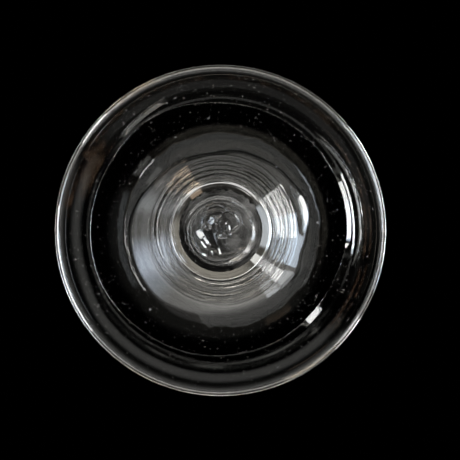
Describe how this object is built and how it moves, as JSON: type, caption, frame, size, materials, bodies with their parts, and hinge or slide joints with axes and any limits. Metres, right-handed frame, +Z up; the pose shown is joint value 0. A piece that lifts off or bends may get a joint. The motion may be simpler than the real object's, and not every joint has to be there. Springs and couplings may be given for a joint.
{
  "type": "stemmed wine glass",
  "caption": "Stemmed drinking glass: round bowl on a merese, knop and drawn stem over a wide raised foot with a folded edge and a broken pontil mark.",
  "frame": {"origin": "on the surface the glass stands on, under the middle of the foot", "axes": "+Z up along the stem to the mouth; seen from below, as the picture is, +X is to its right and +Y is towards its bottom edge"},
  "size_m": [0.078, 0.078, 0.152],
  "materials": {
    "clear_glass": "colourless soda or lead glass, fire polished, with a few seeds and faint tool lines",
    "foot_glass": "colourless glass with tool rings round the raised middle, seeds, air caught in the fold and light wear on the resting ring",
    "broken_glass": "rough snapped glass, sharp facets and shell-shaped breaks"
  },
  "bodies": {
    "root": {"pontil_glass": "broken_glass", "foot": "foot_glass", "foot_collar": "clear_glass", "stem": "clear_glass", "knop": "clear_glass", "bowl_merese": "clear_glass", "bowl": "clear_glass"}
  },
  "joints": []
}
